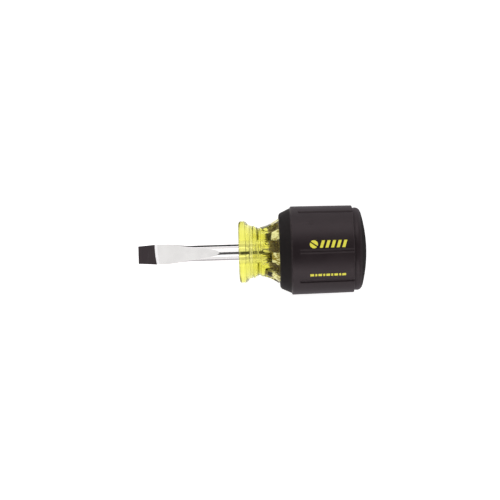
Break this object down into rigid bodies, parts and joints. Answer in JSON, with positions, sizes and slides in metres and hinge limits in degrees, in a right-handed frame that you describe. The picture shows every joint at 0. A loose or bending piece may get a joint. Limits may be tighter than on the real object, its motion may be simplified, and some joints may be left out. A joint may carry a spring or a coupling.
{
  "type": "stubby flat-blade screwdriver",
  "caption": "Stubby slotted screwdriver: short round shank with a flared flat tip, clear yellow handle core with a collar, and a black cushion grip with a domed butt.",
  "frame": {"origin": "centre of the blade's tip end face, on the tool's axis", "axes": "+X along the tool's axis from the tip to the butt, +Z square to the blade's broad upper face, +Y across the blade; the tool lies on its side"},
  "size_m": [0.0873, 0.0338, 0.0338],
  "materials": {
    "plated_steel": "polished",
    "yellow_acetate": "gloss",
    "black_vinyl": "satin"
  },
  "bodies": {
    "root": {"blade": "plated_steel", "handle_core": "yellow_acetate", "cushion_grip": "black_vinyl"}
  },
  "joints": []
}
